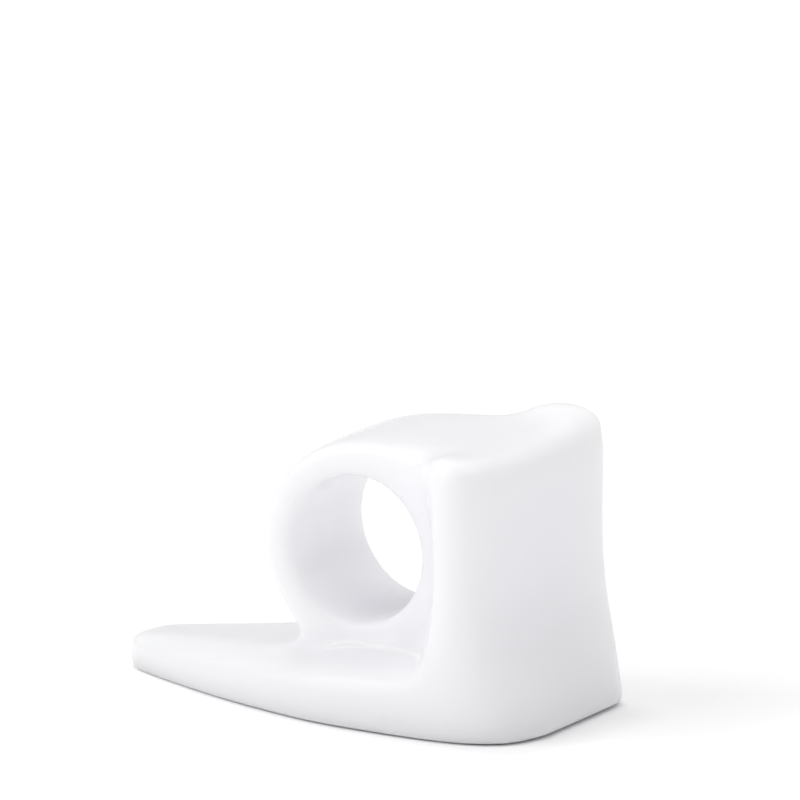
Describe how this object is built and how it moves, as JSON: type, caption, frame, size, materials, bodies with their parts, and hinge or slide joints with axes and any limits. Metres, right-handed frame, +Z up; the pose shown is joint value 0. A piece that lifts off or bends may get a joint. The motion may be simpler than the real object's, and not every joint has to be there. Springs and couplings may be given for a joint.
{
  "type": "toe separator",
  "caption": "Soft gel toe separator: a tapered plate with a round toe loop and a tall wedge block with a hollowed outer face.",
  "frame": {"origin": "the middle of the plate's flat outer face, on which the part rests: halfway along the plate's length and across its width", "axes": "+X from the plate's round tip to the wedge block's hollowed face, +Y along the toe loop's bore, from the plate's curved long edge to its straight one, +Z up from the flat face to the top of the loop and the block"},
  "size_m": [0.0486, 0.0222, 0.0259],
  "materials": {
    "gel": "satin, slightly translucent, moulded"
  },
  "bodies": {
    "root": {"gel_separator": "gel"}
  },
  "joints": []
}
